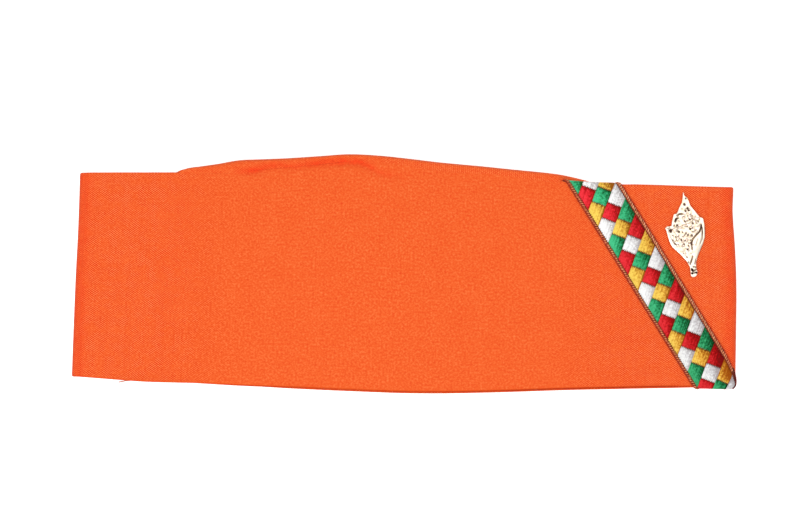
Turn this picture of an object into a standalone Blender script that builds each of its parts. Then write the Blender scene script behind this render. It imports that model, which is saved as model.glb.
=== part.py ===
"""A pahadi cap folded flat and lying on its back wall.

X runs along the cap, +Y from the open hem to the crown, and +Z up from the surface it lies on.
Sizes below are in millimetres, and each mesh is scaled to metres when it is made.

The side band is one closed loop of cloth. Seen from above it has a front wall, a tight fold at
each end, and a back wall lying flat. The crown stands between the two walls, in two halves that
meet at its fold. The ribbon crosses the front wall and is turned in at both edges, and the brooch
is pinned through the front wall.
"""

import math
from collections import namedtuple

import bmesh
import bpy
from mathutils import Matrix, Vector

MM = 0.001

# Clearances and cloth
GAP = 0.3
WALL = 1.7
CROWN_WALL = 1.0
RIBBON_WALL = 0.8

# How the folded band stands up from the surface it lies on
FOLD_RADIUS = 3.0
FOLD_LIFT = 1.2
LIFT_STARTS = 112.0
LIFT_ENDS = 136.0
ARCH_AT_HEM = 11.0
ARCH_AT_MIDDLE = 14.5
ARCH_AT_TOP = 12.0
ARCH_POWER = 2.6

# The front hem stops a little short of the back hem, except near the end folds
HEM_STEP = 0.8
HEM_STEP_RAMPS = (-75.0, -40.0, 112.0, 136.0)

# The crease that runs down the front wall from the crown's hump
CREASE_LINE = ((-17.0, 47.6), (-10.0, 42.6), (2.0, 41.6))
CREASE_DEPTH = 0.9
CREASE_WIDTH = 2.2

# The flat outline: front wall's top edge, the crown's ridge and the back wall's hem
Outline = namedtuple("Outline", "x top ridge hem")
OUTLINE = (
    Outline(-143.0, 43.5, 36.0, -43.9),
    Outline(-131.0, 43.6, 37.0, -44.8),
    Outline(-112.0, 43.6, 39.0, -46.2),
    Outline(-98.0, 43.6, 42.6, -46.6),
    Outline(-90.0, 43.6, 45.6, -46.8),
    Outline(-78.0, 43.8, 47.4, -47.5),
    Outline(-66.0, 44.2, 48.9, -48.2),
    Outline(-50.0, 45.6, 49.7, -49.1),
    Outline(-36.0, 46.9, 50.6, -49.8),
    Outline(-24.0, 48.1, 51.4, -50.3),
    Outline(-12.0, 47.9, 50.9, -50.8),
    Outline(0.0, 46.8, 49.7, -51.2),
    Outline(18.0, 44.7, 47.5, -51.3),
    Outline(42.0, 42.4, 45.2, -50.8),
    Outline(66.0, 39.9, 42.8, -50.0),
    Outline(78.0, 39.0, 40.2, -49.7),
    Outline(88.0, 38.6, 36.8, -49.5),
    Outline(108.0, 38.1, 34.6, -49.1),
    Outline(130.0, 37.4, 33.4, -48.9),
    Outline(143.0, 37.1, 33.0, -49.0),
)

# The end folds, from hem to top
Ends = namedtuple("Ends", "height left right")
ENDS = (
    Ends(0.0, -142.8, 142.3),
    Ends(0.25, -142.0, 142.6),
    Ends(0.5, -141.1, 142.8),
    Ends(0.7, -140.2, 142.2),
    Ends(0.88, -139.6, 141.2),
    Ends(1.0, -139.3, 141.5),
)

# How finely the loop is cut: fractions of the front wall are denser over the hump
FRONT_SPANS = ((0.0, 0.24, 6), (0.24, 0.54, 18), (0.54, 1.0, 12))
BACK_STATIONS = 16
FOLD_STATIONS = 7
BAND_HEIGHTS = (0.0, 0.05, 0.14, 0.26, 0.38, 0.5, 0.62, 0.74, 0.84, 0.9, 0.94, 0.97, 1.0)
RIM_STEPS = 4

# The crown
CROWN_REACH = (-132.0, 132.0)
CROWN_STATIONS = 44
CROWN_LEG = 12.0
CROWN_ROOF_STEPS = 4
RIBBON_POCKET = 1.7
POCKET_RAMPS = (52.0, 60.0, 99.0, 106.0)

# The ribbon's centre line, by height on the wall, and its turned ends
RibbonLine = namedtuple("RibbonLine", "height x")
RIBBON_LINE = (
    RibbonLine(0.0, 135.5),
    RibbonLine(0.26, 121.6),
    RibbonLine(0.5, 109.1),
    RibbonLine(0.74, 96.6),
    RibbonLine(1.0, 81.9),
)
RIBBON_WIDTH = 20.0
RIBBON_SLOPE = 0.61
RIBBON_TURN_TOP = 4.5
RIBBON_TURN_HEM = 6.0

# The ribbon's grid: rows from one height to another, closer together beside the end fold
RIBBON_COLUMNS = 16
RIBBON_SPANS = ((1.0, 0.2, 12), (0.2, 0.0, 10))
TURNED_STEPS = 10

# Near the right-hand fold the hem's turn gets shorter, from the first place to the second
SHORT_TURN_RAMP = (131.0, 138.5)
SHORT_TURN = 2.2

# The brooch, a cast bud with a bent stem, given by its borders from tip to stem end
BROOCH_CENTRE = (120.8, 16.7)
Border = namedtuple("Border", "y left right")
BROOCH_BORDERS = (
    Border(18.2, -0.95, -0.6),
    Border(16.8, -1.1, 0.0),
    Border(15.3, -1.2, 1.3),
    Border(13.8, -1.4, 2.1),
    Border(11.2, -2.3, 3.9),
    Border(9.1, -3.5, 5.5),
    Border(8.3, -5.2, 6.1),
    Border(6.9, -5.4, 7.8),
    Border(5.2, -5.7, 8.2),
    Border(3.8, -6.1, 8.3),
    Border(3.3, -8.7, 8.4),
    Border(1.7, -8.1, 8.6),
    Border(-0.4, -7.4, 8.6),
    Border(-2.7, -6.6, 8.2),
    Border(-5.3, -5.2, 7.3),
    Border(-7.3, -2.9, 6.5),
    Border(-9.2, -0.9, 5.5),
    Border(-11.2, 0.7, 4.9),
    Border(-13.5, 2.0, 4.9),
    Border(-15.9, 2.3, 5.4),
    Border(-17.6, 2.5, 4.9),
    Border(-18.1, 3.2, 4.1),
)
BROOCH_COLUMNS = 10
BROOCH_EDGE = 1.1
BROOCH_RIM = 0.7
BROOCH_RIM_WIDTH = 1.3
BROOCH_BELLY = 0.8
PETAL_LINE = ((7.4, 3.0), (6.0, -1.5), (4.6, -6.0), (3.9, -9.5))
PETAL_RISE = 0.7
PETAL_WIDTH = 1.7

# The brooch's post and the clutch that holds it inside the band
POST_RADIUS = 0.5
POST_HOLE_RADIUS = 0.9
CLUTCH_RADIUS = 4.0
CLUTCH_THICKNESS = 3.0
CLUTCH_BORE_DEPTH = 2.2
CLUTCH_EDGE = 0.5
CLUTCH_COLLAR_RADIUS = 1.9
CLUTCH_COLLAR_RISE = 0.8
ROUND_SIDES = 16


def clear_scene():
    for thing in list(bpy.data.objects):
        bpy.data.objects.remove(thing, do_unlink=True)


def smooth_step(value, start, end):
    share = min(1.0, max(0.0, (value - start) / (end - start)))
    return share * share * (3.0 - 2.0 * share)


def plateau(value, ramps):
    """0 outside, 1 inside, for ramps given as rise start, rise end, fall start, fall end."""
    return smooth_step(value, ramps[0], ramps[1]) * (1.0 - smooth_step(value, ramps[2], ramps[3]))


def read_curve(rows, key, column, at):
    """A smooth curve through one column of a table, read where the key column is `at`."""
    keys = [getattr(row, key) for row in rows]
    values = [getattr(row, column) for row in rows]
    last = len(keys) - 1
    at = min(keys[-1], max(keys[0], at))
    i = next((n for n in range(last) if at <= keys[n + 1]), last - 1)

    def slope(n):
        low, high = max(0, n - 1), min(last, n + 1)
        return (values[high] - values[low]) / (keys[high] - keys[low])

    span = keys[i + 1] - keys[i]
    s = (at - keys[i]) / span
    return (
        (2 * s**3 - 3 * s**2 + 1) * values[i]
        + (s**3 - 2 * s**2 + s) * span * slope(i)
        + (3 * s**2 - 2 * s**3) * values[i + 1]
        + (s**3 - s**2) * span * slope(i + 1)
    )


def line_distance(x, y, line):
    """How far a point lies from a run of straight pieces."""
    best = math.inf
    for (x0, y0), (x1, y1) in zip(line, line[1:]):
        run = Vector((x1 - x0, y1 - y0))
        share = (Vector((x - x0, y - y0)).dot(run)) / run.length_squared
        share = min(1.0, max(0.0, share))
        best = min(best, math.hypot(x - x0 - share * run.x, y - y0 - share * run.y))
    return best


# The band's shape

def top_edge(x):
    """The centre of the rounded top rim."""
    return read_curve(OUTLINE, "x", "top", x) - WALL / 2


def hem_edge(x, on_front):
    """The centre of the rounded hem, on_front running from 0 on the back to 1 on the front."""
    step = HEM_STEP * on_front * plateau(x, HEM_STEP_RAMPS)
    return read_curve(OUTLINE, "x", "hem", x) + WALL / 2 + step


def height_to_y(x, height, on_front):
    hem = hem_edge(x, on_front)
    return hem + height * (top_edge(x) - hem)


def y_to_height(x, y):
    hem = hem_edge(x, 1.0)
    return (y - hem) / (top_edge(x) - hem)


def flat_ends(height):
    """Where the front wall's flat part meets the two end folds."""
    left = read_curve(ENDS, "height", "left", height) + FOLD_RADIUS
    right = read_curve(ENDS, "height", "right", height) - FOLD_RADIUS
    return left, right


def back_z(x):
    return FOLD_LIFT * smooth_step(abs(x), LIFT_STARTS, LIFT_ENDS)


def front_z(x, height):
    """The front wall's outer surface: an arch that comes down to the folds at both ends."""
    left, right = flat_ends(height)
    across = min(1.0, abs((2 * x - left - right) / (right - left)))
    arch = (
        ARCH_AT_HEM * 2 * (height - 0.5) * (height - 1)
        + ARCH_AT_MIDDLE * 4 * height * (1 - height)
        + ARCH_AT_TOP * 2 * height * (height - 0.5)
    )
    fold_top = FOLD_LIFT + 2 * FOLD_RADIUS
    crease = line_distance(x, height_to_y(x, height, 1.0), CREASE_LINE) / CREASE_WIDTH
    return (
        fold_top
        + (arch - fold_top) * (1.0 - across**ARCH_POWER)
        - CREASE_DEPTH * math.exp(-crease * crease)
    )


def front_place(along, height):
    """A point of the outer surface and its outward direction.

    `along` is x on the flat front wall and goes on as a length round the right-hand fold.
    """
    flat_end = flat_ends(height)[1]
    turn = max(0.0, along - flat_end) / FOLD_RADIUS
    x = min(along, flat_end)
    y = height_to_y(x, height, 1.0 - 0.5 * (1.0 - math.cos(turn)))
    if turn == 0.0:
        return Vector((x, y, front_z(x, height))), Vector((0.0, 0.0, 1.0))
    outward = Vector((math.sin(turn), 0.0, math.cos(turn)))
    middle = Vector((flat_end, y, FOLD_LIFT + FOLD_RADIUS))
    return middle + FOLD_RADIUS * outward, outward


def loop_row(height, inset):
    """One closed row round the band: front, right fold, back, left fold."""
    left, right = flat_ends(height)
    points = []
    for start, end, steps in FRONT_SPANS:
        for n in range(steps):
            x = left + (right - left) * (start + (end - start) * n / steps)
            points.append((x, height_to_y(x, height, 1.0), front_z(x, height) - inset))
    radius = FOLD_RADIUS - inset
    middle = FOLD_LIFT + FOLD_RADIUS
    for n in range(FOLD_STATIONS + 1):
        turn = math.pi * n / FOLD_STATIONS
        y = height_to_y(right, height, 0.5 + 0.5 * math.cos(turn))
        points.append((right + radius * math.sin(turn), y, middle + radius * math.cos(turn)))
    for n in range(1, BACK_STATIONS):
        x = right + (left - right) * n / BACK_STATIONS
        points.append((x, height_to_y(x, height, 0.0), back_z(x) + inset))
    for n in range(FOLD_STATIONS):
        turn = math.pi * n / FOLD_STATIONS
        y = height_to_y(left, height, 0.5 - 0.5 * math.cos(turn))
        points.append((left - radius * math.sin(turn), y, middle - radius * math.cos(turn)))
    return points


def rim_rows(height, up):
    """The rounded edge that joins the outer and inner surfaces, out to in."""
    rows = []
    for n in range(1, RIM_STEPS):
        turn = math.pi * n / RIM_STEPS
        inset = WALL / 2 * (1.0 - math.cos(turn))
        rise = up * WALL / 2 * math.sin(turn)
        rows.append([(x, y + rise, z) for x, y, z in loop_row(height, inset)])
    return rows


# Mesh making

def quad_bands(rows, close_rows, close_columns):
    """Faces between neighbouring rows of equal length."""
    columns = len(rows[0])
    faces = []
    for r in range(len(rows) if close_rows else len(rows) - 1):
        for c in range(columns if close_columns else columns - 1):
            r2, c2 = (r + 1) % len(rows), (c + 1) % columns
            faces.append((r * columns + c, r * columns + c2, r2 * columns + c2, r2 * columns + c))
    return faces


def add_solid(name, points, faces, material, smooth_angle):
    """A closed mesh object from points in millimetres, with its faces turned outwards."""
    mesh = bpy.data.meshes.new(name)
    mesh.from_pydata([Vector(p) * MM for p in points], [], faces)
    work = bmesh.new()
    work.from_mesh(mesh)
    bmesh.ops.recalc_face_normals(work, faces=work.faces)
    if work.calc_volume(signed=True) < 0:
        bmesh.ops.reverse_faces(work, faces=work.faces)
    work.to_mesh(mesh)
    work.free()
    mesh.shade_smooth()
    mesh.set_sharp_from_angle(angle=math.radians(smooth_angle))
    mesh.materials.append(material)
    thing = bpy.data.objects.new(name, mesh)
    bpy.context.scene.collection.objects.link(thing)
    return thing


def add_slab(name, outside, inside, material, smooth_angle):
    """A closed plate between two grids of points with the same rows and columns.

    Each quad is split from its second corner to its fourth, which keeps the ribbon's slanting
    grid smooth where it goes round the end fold.
    """
    rows, columns = len(outside), len(outside[0])
    points = [p for row in outside for p in row] + [p for row in inside for p in row]
    shift = rows * columns
    faces = []
    for a, b, c, d in quad_bands(outside, False, False):
        faces += [(a, b, d), (b, c, d)]
    faces += [tuple(reversed([n + shift for n in face])) for face in faces]
    edge = [(0, c) for c in range(columns)]
    edge += [(r, columns - 1) for r in range(1, rows)]
    edge += [(rows - 1, c) for c in range(columns - 2, -1, -1)]
    edge += [(r, 0) for r in range(rows - 2, 0, -1)]
    loop = [r * columns + c for r, c in edge]
    for a, b in zip(loop, loop[1:] + loop[:1]):
        faces.append((b, a, a + shift, b + shift))
    return add_solid(name, points, faces, material, smooth_angle)


def add_turned(name, profile, material):
    """A round piece about its own Z axis from (radius, z) points; both ends lie on the axis."""
    rings = profile[1:-1]
    points = [(0.0, 0.0, profile[0][1]), (0.0, 0.0, profile[-1][1])]
    for radius, z in rings:
        for n in range(ROUND_SIDES):
            turn = 2 * math.pi * n / ROUND_SIDES
            points.append((radius * math.cos(turn), radius * math.sin(turn), z))
    faces = []
    for n in range(ROUND_SIDES):
        after = (n + 1) % ROUND_SIDES
        faces.append((0, 2 + n, 2 + after))
        for ring in range(len(rings) - 1):
            low, high = 2 + ring * ROUND_SIDES, 2 + (ring + 1) * ROUND_SIDES
            faces.append((low + n, high + n, high + after, low + after))
        last = 2 + (len(rings) - 1) * ROUND_SIDES
        faces.append((1, last + after, last + n))
    return add_solid(name, points, faces, material, 40)


def combine(thing, other, operation):
    """A Boolean with a helper object, which stays in the file as a hidden wire guide."""
    other.hide_render = True
    other.display_type = "WIRE"
    step = thing.modifiers.new(operation.lower(), "BOOLEAN")
    step.operation = operation
    step.object = other
    step.solver = "EXACT"


def make_material(name, colour, roughness, metallic=0.0):
    material = bpy.data.materials.new(name)
    material.use_nodes = True
    shader = material.node_tree.nodes["Principled BSDF"]
    shader.inputs["Base Color"].default_value = (*colour, 1.0)
    shader.inputs["Roughness"].default_value = roughness
    shader.inputs["Metallic"].default_value = metallic
    return material


# The pieces

def make_side_band(material, pin_place):
    rows = [loop_row(height, 0.0) for height in BAND_HEIGHTS]
    rows += rim_rows(1.0, 1)
    rows += [loop_row(height, WALL) for height in reversed(BAND_HEIGHTS)]
    rows += list(reversed(rim_rows(0.0, -1)))
    points = [p for row in rows for p in row]
    band = add_solid("side_band", points, quad_bands(rows, True, True), material, 60)
    reach = 3 * WALL
    rod = ((0.0, -reach), (POST_HOLE_RADIUS, -reach), (POST_HOLE_RADIUS, reach), (0.0, reach))
    cutter = add_turned("post_hole_cutter", rod, material)
    cutter.matrix_world = pin_place
    combine(band, cutter, "DIFFERENCE")
    return band


def crown_section(x, side):
    """Outer and inner points of half the crown's upturned U, from the leg's foot to the fold.

    `side` is 1 for the front half and -1 for the rear one, and a gap parts the two at the fold.
    """
    ridge = read_curve(OUTLINE, "x", "ridge", x)
    foot = top_edge(x) - CROWN_LEG
    beside_leg = [height for height in BAND_HEIGHTS if height > y_to_height(x, foot) - 0.1]
    front_gap = GAP + (RIBBON_POCKET - GAP) * plateau(x, POCKET_RAMPS)
    front = min(front_z(x, height) for height in beside_leg) - WALL - front_gap
    back = back_z(x) + WALL + GAP
    half = (front - back) / 2
    middle = (front + back) / 2

    def section(half_width, crest):
        points = [(x, foot, middle + side * half_width)]
        for n in range(CROWN_ROOF_STEPS + 1):
            turn = math.pi / 2 * n / CROWN_ROOF_STEPS
            y = crest - half + half * math.sin(turn)
            reach = GAP / 2 + (half_width - GAP / 2) * math.cos(turn)
            points.append((x, y, middle + side * reach))
        return points

    return section(half, ridge), section(half - CROWN_WALL, ridge - CROWN_WALL)


def make_crown_half(name, side, material):
    start, end = CROWN_REACH
    outside, inside = [], []
    for n in range(CROWN_STATIONS + 1):
        outer, inner = crown_section(start + (end - start) * n / CROWN_STATIONS, side)
        outside.append(outer)
        inside.append(inner)
    return add_slab(name, outside, inside, material, 60)


def ribbon_rows(lift):
    """Rows of one ribbon surface, `lift` clear of the wall, from inside the top to inside the hem."""
    half = RIBBON_WIDTH / 2 * math.hypot(1.0, RIBBON_SLOPE)
    shares = [2 * n / RIBBON_COLUMNS - 1 for n in range(RIBBON_COLUMNS + 1)]
    radius = WALL / 2 + lift
    rim_run = math.pi * (WALL / 2 + GAP + RIBBON_WALL / 2)

    def places(height):
        centre = read_curve(RIBBON_LINE, "height", "x", height)
        return [centre + half * share for share in shares]

    def turned_row(height, up, leg, share):
        """A row `share` of the way along the turned end: round the rim, then down inside."""
        row = []
        for start in places(height):
            short = smooth_step(start, *SHORT_TURN_RAMP)
            reach = share * (rim_run + leg + (SHORT_TURN - rim_run - leg) * short)
            place, outward = front_place(start - up * RIBBON_SLOPE * reach, height)
            turn = math.pi * min(1.0, reach / rim_run)
            point = place + outward * (radius * math.cos(turn) - WALL / 2)
            point.y += up * (radius * math.sin(turn) - max(0.0, reach - rim_run))
            row.append(point)
        return row

    ends = range(1, TURNED_STEPS + 1)
    rows = [turned_row(1.0, 1, RIBBON_TURN_TOP, n / TURNED_STEPS) for n in reversed(ends)]
    heights = []
    for high, low, steps in RIBBON_SPANS:
        heights += [high + (low - high) * n / steps for n in range(steps)]
    for height in heights + [0.0]:
        surface = [front_place(along, height) for along in places(height)]
        rows.append([place + outward * lift for place, outward in surface])
    rows += [turned_row(0.0, -1, RIBBON_TURN_HEM, n / TURNED_STEPS) for n in ends]
    return rows


def make_ribbon(material):
    outside = ribbon_rows(GAP + RIBBON_WALL)
    inside = ribbon_rows(GAP)
    return add_slab("ribbon", outside, inside, material, 60)


def brooch_relief(x, y, left, right):
    """The cast face's height above the brooch's back: edge, raised rim, belly and petal."""
    inward = min(x - left, right - x)
    rim = BROOCH_RIM * math.exp(-(((inward - BROOCH_RIM_WIDTH) / BROOCH_RIM_WIDTH) ** 2))
    width = right - left
    belly = BROOCH_BELLY * min(1.0, width / 12.0) * 4 * (x - left) * (right - x) / width**2
    petal = line_distance(x, y, PETAL_LINE) / PETAL_WIDTH
    return BROOCH_EDGE + min(1.0, inward) * (rim + belly + PETAL_RISE * math.exp(-petal * petal))


def make_brooch(material, pin_place, post_length):
    face, back = [], []
    for border in BROOCH_BORDERS:
        face_row, back_row = [], []
        for n in range(BROOCH_COLUMNS + 1):
            x = border.left + (border.right - border.left) * n / BROOCH_COLUMNS
            face_row.append((x, border.y, brooch_relief(x, border.y, border.left, border.right)))
            back_row.append((x, border.y, 0.0))
        face.append(face_row)
        back.append(back_row)
    brooch = add_slab("brooch", face, back, material, 30)
    sunk = BROOCH_EDGE / 2
    rod = ((0.0, -post_length), (POST_RADIUS, -post_length), (POST_RADIUS, sunk), (0.0, sunk))
    post = add_turned("brooch_post", rod, material)
    for thing in (brooch, post):
        thing.matrix_world = pin_place @ Matrix.Translation((0.0, 0.0, GAP * MM))
    combine(brooch, post, "UNION")
    return brooch


def make_pin_clutch(material, pin_place):
    """The plain round clutch inside the band, with a blind bore for the post."""
    bore = POST_RADIUS + GAP
    top = -WALL - GAP
    flat_top = top - CLUTCH_COLLAR_RISE
    bottom = top - CLUTCH_THICKNESS
    profile = (
        (0.0, bottom),
        (CLUTCH_RADIUS - CLUTCH_EDGE, bottom),
        (CLUTCH_RADIUS, bottom + CLUTCH_EDGE),
        (CLUTCH_RADIUS, flat_top - CLUTCH_EDGE),
        (CLUTCH_RADIUS - CLUTCH_EDGE, flat_top),
        (CLUTCH_COLLAR_RADIUS, flat_top),
        (CLUTCH_COLLAR_RADIUS, top),
        (bore, top),
        (bore, top - CLUTCH_BORE_DEPTH),
        (0.0, top - CLUTCH_BORE_DEPTH),
    )
    clutch = add_turned("pin_clutch", profile, material)
    clutch.matrix_world = pin_place
    return clutch


def brooch_place():
    """The pose of the wall's surface under the brooch's middle, leaning as the wall does."""
    x, y = BROOCH_CENTRE
    reach = 6.0

    def surface(px, py):
        return Vector((px, py, front_z(px, y_to_height(px, py))))

    along = (surface(x + reach, y) - surface(x - reach, y)).normalized()
    outward = along.cross(surface(x, y + reach) - surface(x, y - reach)).normalized()
    turn = Matrix((along, outward.cross(along), outward)).transposed()
    return Matrix.Translation(surface(x, y) * MM) @ turn.to_4x4()


def main():
    clear_scene()
    orange_cloth = make_material("orange_cloth", (0.94, 0.13, 0.025), 0.85)
    ribbon_cloth = make_material("embroidered_ribbon", (0.62, 0.42, 0.12), 0.6)
    gold_metal = make_material("gold_metal", (0.95, 0.78, 0.52), 0.25, 1.0)
    plain_metal = make_material("plain_metal", (0.72, 0.7, 0.66), 0.35, 1.0)
    pin_place = brooch_place()
    post_length = GAP + WALL + GAP + CLUTCH_BORE_DEPTH - GAP
    make_side_band(orange_cloth, pin_place)
    make_crown_half("crown_front", 1, orange_cloth)
    make_crown_half("crown_rear", -1, orange_cloth)
    make_ribbon(ribbon_cloth)
    make_brooch(gold_metal, pin_place, post_length)
    make_pin_clutch(plain_metal, pin_place)


main()
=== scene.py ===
"""A pahadi cap lying folded flat: its cloth, embroidered ribbon, cast brooch and a plain studio.

X runs along the cap, +Y from the open hem to the crown and +Z up. Sizes are in millimetres, and
each mesh is scaled to metres when it is made. The cap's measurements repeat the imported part's,
with the outline drawn out by a fraction of a millimetre.
"""

from functools import partialmethod
from math import cos, hypot, pi, radians, sin

import bpy
import numpy as np
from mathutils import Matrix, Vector


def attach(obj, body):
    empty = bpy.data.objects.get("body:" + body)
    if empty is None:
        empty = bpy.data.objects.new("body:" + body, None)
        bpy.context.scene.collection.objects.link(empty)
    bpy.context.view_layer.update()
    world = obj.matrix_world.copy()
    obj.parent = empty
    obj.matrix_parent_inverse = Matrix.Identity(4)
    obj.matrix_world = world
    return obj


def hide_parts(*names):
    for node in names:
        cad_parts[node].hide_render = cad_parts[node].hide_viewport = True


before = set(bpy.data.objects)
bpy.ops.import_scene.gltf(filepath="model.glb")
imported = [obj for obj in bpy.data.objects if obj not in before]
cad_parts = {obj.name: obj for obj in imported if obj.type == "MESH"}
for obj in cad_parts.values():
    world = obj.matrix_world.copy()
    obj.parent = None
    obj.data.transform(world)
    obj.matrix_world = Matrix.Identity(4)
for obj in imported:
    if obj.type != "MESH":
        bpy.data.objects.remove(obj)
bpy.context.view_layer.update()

MM = 0.001
rng = np.random.default_rng(7)

# The photograph's scale and the pixel that lies over the origin
PIXEL = 0.43
ORIGIN_PIXEL = (404.15, 273.85)
IMAGE_SIZE = (800, 527)

# Cloth and clearances
GAP = 0.3
WALL = 1.7
CROWN_CLOTH = 0.5
FOLD_RADIUS = 3
FOLD_LIFT = 1.2
FOLD_MIDDLE = FOLD_LIFT + FOLD_RADIUS
LIFT_RAMP = (112, 136)
ARCH_AT_HEM, ARCH_AT_MIDDLE, ARCH_AT_TOP = 11, 14.5, 12
ARCH_POWER = 2.6
HEM_STEP = 0.8
HEM_STEP_RAMPS = (-75, -40, 112, 136)

# The flat outline: x, front wall's top edge, crown's ridge, hem
OUTLINE = np.array((
    (-143, 43.5, 36, -43.9), (-131, 43.6, 37, -44.8), (-112, 43.6, 39, -46.2),
    (-98, 43.6, 42.6, -46.6), (-90, 43.6, 45.6, -46.8), (-78, 43.8, 47.4, -47.5),
    (-66, 44.2, 48.9, -48.2), (-50, 45.6, 49.7, -49.1), (-36, 46.9, 50.6, -49.8),
    (-24, 48.1, 51.4, -50.3), (-12, 47.9, 50.9, -50.8), (0, 46.8, 49.7, -51.2),
    (18, 44.7, 47.5, -51.3), (42, 42.4, 45.2, -50.8), (66, 39.9, 42.8, -50),
    (78, 39, 40.2, -49.7), (88, 38.6, 36.8, -49.5), (108, 38.1, 34.6, -49.1),
    (130, 37.4, 33.4, -48.9), (143, 37.1, 33, -49),
))

# Where the crown's ridge stands above that curve: x, width, height
RIDGE_RISES = ((-97, 3.2, 1.1), (-92.8, 3.4, 0.6), (-72, 7, 0.45), (30, 16, 0.2))

# How far the cloth's edges lie outside the solid's, and where along x
HEM_SPREAD = 0.3
HEM_SPREAD_RAMPS = ((-75, -50), (112, 132))
TOP_SPREAD = 0.15
TOP_SPREAD_RAMP = (94, 100)
END_SPREAD = 0.25

# The end folds: height from hem to top, left end, right end
ENDS = np.array((
    (0, -142.8, 142.3), (0.25, -142, 142.6), (0.5, -141.1, 142.8),
    (0.7, -140.2, 142.2), (0.88, -139.6, 141.2), (1, -139.3, 141.5),
))

# The crease along the crown's seam and down the front wall: x, y, depth
CREASE = np.array((
    (-74, 43.6, 0), (-69.5, 44, 0.45), (-66.5, 44.3, 0.95), (-63, 44.7, 0.9),
    (-59, 46, 0.8), (-56, 46.6, 0.75), (-51.5, 46.2, 0.55), (-47, 46, 0.55),
    (-43, 46.5, 0.65), (-38.8, 47.4, 0.8), (-29.3, 48.1, 0.95), (-19, 48, 0.9),
    (-14.7, 46, 0.65), (-11.5, 43.7, 0.5), (-8, 42.5, 0.35), (-1, 41.8, 0.15),
    (5, 41.6, 0),
))
CREASE_WIDTH = 1.7

# Soft dents pressed into the front wall: x, y, half-width, half-height, depth
DENTS = (
    (71, 32.5, 3.4, 3, 0.35), (-134.5, -39.5, 7, 3.6, 0.35), (-118, 41, 12, 2.4, 0.12),
    (126, 27, 3, 12, 0.22), (-131, 18, 3.2, 22, 0.2), (131, 20, 2.6, 14, 0.2),
)

# The hem's right-hand corner
ROUND_CENTRE = np.array((139.65, -46.5))
ROUND_RADIUS = 3.15
ROUND_PULL = 0.15
CORNER_DROP = 1.1
CORNER_DROP_RAMP = (136.5, 139)

# The crown between the walls
CROWN_REACH = (-132, 132)
CROWN_LEG = 12
ROLL_POWER = 0.45
ROLL_START = 0.2
ROLL_END = (66, 71)
RIBBON_POCKET = 1.7
POCKET_RAMPS = (52, 60, 99, 106)

# Where the crown comes up past the front wall: y from the wall's top and depth under its face,
# then how much of the crown's own cloth is added to each on its inner side
HIDDEN = WALL + 0.35
NECK = np.array((
    (-1.6, HIDDEN, 0, 1), (-1.3, HIDDEN - 0.15, 0.1, 1), (-1.1, HIDDEN - 0.8, 0.3, 0.9),
    (-0.95, 0.4, 0.8, 0.8), (-0.8, 0, 0.9, 0.8), (-0.55, -0.03, 1, 0.9),
)).T

# The ribbon's own plane: a corner of its strip, the way along it and the way across it
RIBBON_CORNER = np.array((64.59, 42.01))
RIBBON_ALONG = np.array((0.5268, -0.85))
RIBBON_ACROSS = np.array((0.85, 0.5268))
RIBBON_MIDDLE = 12.6
RIBBON_HALF = 9.95
RIBBON_SLOPE = 0.61
RIM_RUN = pi * 1.55
TOP_TURN, HEM_TURN = RIM_RUN + 4.5, RIM_RUN + 6
SHORT_TURN_RAMP = (131, 138.5)
SHORT_TURN = 2.2
BEND_FROM, BEND_ROOM = 137.5, 7
FLAT_TO = 139
BASE_TOP = 0.62

# The ribbon's satin cells, in that plane
COLUMN_PITCH = 8.11
FIRST_COLUMN = 9.87
CELL_LENGTH = 6.97
CELL_WIDTH = 6.48
CELL_LEAN = (0.609, 0.793)
CELL_ALONG = RIBBON_ALONG * CELL_LEAN[0] - RIBBON_ACROSS * CELL_LEAN[1]
CELL_ACROSS = RIBBON_ALONG * CELL_LEAN[1] + RIBBON_ACROSS * CELL_LEAN[0]
STITCHED_HALF = 8.3
THREADS_IN_CELL = 17
THREAD_PITCH = CELL_WIDTH / THREADS_IN_CELL
SHORTEST_THREAD = 0.7
TOOTH = 0.36
OVERLAP = 0.18
CORNER_PULL = 1.2
CORNER_PULL_WIDTH = 3
CORNER_PULL_RAMP = (42, 50)


# Shapes shared by the pieces

def ease(value, start, end):
    """0 up to the start, 1 from the end on and smooth between them."""
    share = np.clip((value - start) / (end - start), 0, 1)
    return share * share * (3 - 2 * share)


def bell(value, width):
    return np.exp(-((value / width) ** 2))


def spaced(*runs):
    """Even steps end to end. Each run is its start, its end and how many steps it has."""
    steps = [np.linspace(start, end, count, endpoint=False) for start, end, count in runs]
    return np.hstack((*steps, runs[-1][1]))


def twice(values):
    return np.vstack((values, values))


def stacked(*values):
    """Numbers and arrays, spread to one shape, as the columns of a new last axis."""
    return np.stack(np.broadcast_arrays(*values), -1)


def run_lengths(paths):
    """The length along each path to each of its points."""
    steps = np.linalg.norm(np.diff(paths, axis=-2), axis=-1)
    return np.concatenate((np.zeros_like(steps[..., :1]), np.cumsum(steps, -1)), -1)


def plateau(value, ramps):
    return ease(value, *ramps[:2]) * (1 - ease(value, *ramps[2:]))


def read_curve(table, column, at):
    """A smooth curve through one column of a table whose first column is the key."""
    keys, values = table[:, 0], table[:, column]
    order = np.arange(len(keys))
    low, high = np.maximum(order - 1, 0), np.minimum(order + 1, len(keys) - 1)
    slopes = (values[high] - values[low]) / (keys[high] - keys[low])
    at = np.clip(at, keys[0], keys[-1])
    i = np.clip(np.searchsorted(keys, at, side="left") - 1, 0, len(keys) - 2)
    span = keys[i + 1] - keys[i]
    s = (at - keys[i]) / span
    bend = s * (s - 1) * span * ((s - 1) * slopes[i] + s * slopes[i + 1])
    return values[i] + s * s * (3 - 2 * s) * (values[i + 1] - values[i]) + bend


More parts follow.
